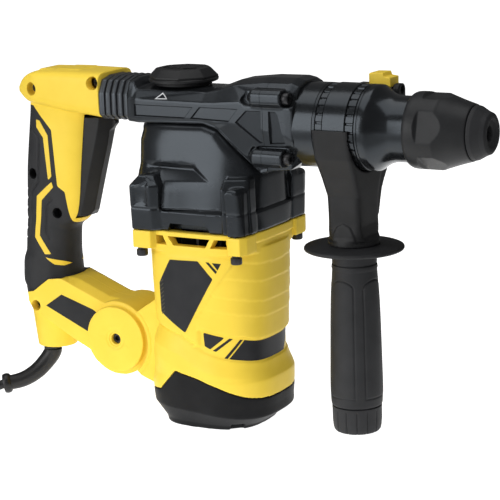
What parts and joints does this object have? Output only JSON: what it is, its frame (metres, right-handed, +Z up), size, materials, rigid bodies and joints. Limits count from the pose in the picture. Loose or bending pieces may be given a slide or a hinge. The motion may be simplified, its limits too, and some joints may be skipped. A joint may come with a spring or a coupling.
{
  "type": "demolition hammer",
  "caption": "Corded hammer with a vertical motor, crank-driven striker, quick-change chuck, sprung rear D handle with trigger, mode knob and a swivelling clamp-on side handle.",
  "frame": {"origin": "on the motor axis, in the plane of the flat foot that the tool stands on", "axes": "+X along the barrel towards the chuck, +Z up along the motor axis, +Y to the tool's left side"},
  "size_m": [0.5796, 0.1221, 0.265],
  "materials": {
    "yellow_plastic": "moulded yellow nylon, fine texture, satin",
    "dark_plastic": "moulded near-black nylon, fine texture",
    "black_housing": "die-cast aluminium, semi-gloss black paint",
    "black_rubber": "matte black soft overmould",
    "cord_rubber": "black cord sheath, slight sheen",
    "steel": "machined steel",
    "black_steel": "black-oxide steel",
    "electrical_steel": "stacked laminations",
    "copper": "turned copper",
    "carbon": "pressed carbon",
    "piston_metal": "machined"
  },
  "bodies": {
    "main": {"motor_housing": "yellow_plastic", "bottom_cap": "dark_plastic", "gear_case": "black_housing", "barrel_housing": "black_housing", "nose_housing": "black_housing", "bellows": "black_rubber", "stator": "electrical_steel", "upper_motor_bearing": "steel", "lower_motor_bearing": "steel", "brush_right": "carbon", "brush_left": "carbon", "spindle_bearing": "steel", "flange_bolt_1": "black_steel", "flange_bolt_2": "black_steel", "flange_bolt_3": "black_steel", "flange_bolt_4": "black_steel", "nose_screw_1": "black_steel", "nose_screw_2": "black_steel", "nose_screw_3": "black_steel", "nose_screw_4": "black_steel"},
    "rear_handle": {"handle_shell_right": "yellow_plastic", "handle_shell_left": "yellow_plastic", "grip_overmold": "black_rubber", "trigger_switch": "dark_plastic", "handle_screw_1": "black_steel", "handle_screw_2": "black_steel", "handle_screw_3": "black_steel", "handle_screw_4": "black_steel", "handle_screw_5": "black_steel", "pivot_bolt": "black_steel", "strain_relief": "black_rubber", "power_cord": "cord_rubber", "cord_coil": "cord_rubber", "cord_tail": "cord_rubber", "mains_plug": "cord_rubber"},
    "trigger": {"trigger": "dark_plastic"},
    "mode_knob": {"mode_knob": "dark_plastic"},
    "armature": {"armature_shaft": "steel", "armature_core": "electrical_steel", "commutator": "copper", "cooling_fan": "dark_plastic"},
    "crank": {"crank_gear": "steel"},
    "intermediate": {"bevel_pinion": "steel"},
    "spindle": {"spindle": "steel", "spindle_bevel_gear": "steel", "locking_ball": "steel", "chuck_nose_cap": "black_rubber", "sleeve_spring": "steel"},
    "sleeve": {"chuck_sleeve": "dark_plastic"},
    "piston": {"piston": "piston_metal"},
    "connecting_rod": {"connecting_rod": "steel"},
    "striker": {"striker": "steel"},
    "beat_piece": {"beat_piece": "steel"},
    "yoke": {"handle_yoke": "dark_plastic", "clamp_band": "black_steel"},
    "side_grip": {"side_grip": "black_rubber", "grip_end_cap": "black_rubber", "clamp_bolt": "steel"},
    "depth_button": {"depth_stop_button": "yellow_plastic"}
  },
  "joints": [
    {"name": "handle_pivot", "type": "hinge", "parent": "main", "child": "rear_handle", "pos_m": [-0.082, 0, 0.057], "axis": [0, 1, 0], "range_deg": [0, 1.5], "stiffness_Nm_per_rad": 300, "deforming": ["bellows"]},
    {"name": "trigger_press", "type": "hinge", "parent": "rear_handle", "child": "trigger", "pos_m": [-0.111, 0, 0.2205], "axis": [0, 1, 0], "range_deg": [0, 6], "stiffness_Nm_per_rad": 1.2, "springref_deg": -6.88},
    {"name": "mode_knob_turn", "type": "hinge", "parent": "main", "child": "mode_knob", "pos_m": [-0.027, 0, 0.255], "axis": [0, 0, 1], "range_deg": [-90, 90]},
    {"name": "armature_spin", "type": "hinge", "parent": "main", "child": "armature", "pos_m": [0, 0, 0.1], "axis": [0, 0, 1], "continuous": true},
    {"name": "crank_spin", "type": "hinge", "parent": "main", "child": "crank", "pos_m": [-0.0209, 0, 0.17], "axis": [0, 0, 1], "continuous": true},
    {"name": "bevel_spin", "type": "hinge", "parent": "main", "child": "intermediate", "pos_m": [0.0209, 0, 0.17], "axis": [0, 0, 1], "continuous": true},
    {"name": "spindle_spin", "type": "hinge", "parent": "main", "child": "spindle", "pos_m": [0.1, 0, 0.2277], "axis": [1, 0, 0], "continuous": true},
    {"name": "sleeve_slide", "type": "slide", "parent": "spindle", "child": "sleeve", "axis": [1, 0, 0], "range_m": [-0.009, 0], "stiffness_N_per_m": 1200, "springref_m": 0.01, "deforming": ["sleeve_spring"]},
    {"name": "piston_slide", "type": "slide", "parent": "main", "child": "piston", "axis": [1, 0, 0], "range_m": [-0.022, 0]},
    {"name": "rod_swing", "type": "hinge", "parent": "piston", "child": "connecting_rod", "pos_m": [0.0401, 0, 0.2277], "axis": [0, 0, 1], "range_deg": [-12, 12]},
    {"name": "striker_slide", "type": "slide", "parent": "main", "child": "striker", "axis": [1, 0, 0], "range_m": [0, 0.006]},
    {"name": "beat_piece_slide", "type": "slide", "parent": "main", "child": "beat_piece", "axis": [1, 0, 0], "range_m": [-0.0025, 0.004]},
    {"name": "yoke_swivel", "type": "hinge", "parent": "main", "child": "yoke", "pos_m": [0.1113, 0, 0.2277], "axis": [1, 0, 0], "continuous": true},
    {"name": "grip_twist", "type": "hinge", "parent": "yoke", "child": "side_grip", "pos_m": [0.1113, 0, 0.1], "axis": [0, 0, 1], "continuous": true},
    {"name": "depth_button_press", "type": "slide", "parent": "yoke", "child": "depth_button", "axis": [0, 0, -1], "range_m": [0, 0.0032], "stiffness_N_per_m": 300, "springref_m": -0.004}
  ],
  "couplings": [
    {"joint": "crank_spin", "follows": "armature_spin", "ratio": -0.31034},
    {"joint": "bevel_spin", "follows": "armature_spin", "ratio": -0.31034},
    {"joint": "spindle_spin", "follows": "armature_spin", "ratio": -0.10345}
  ]
}
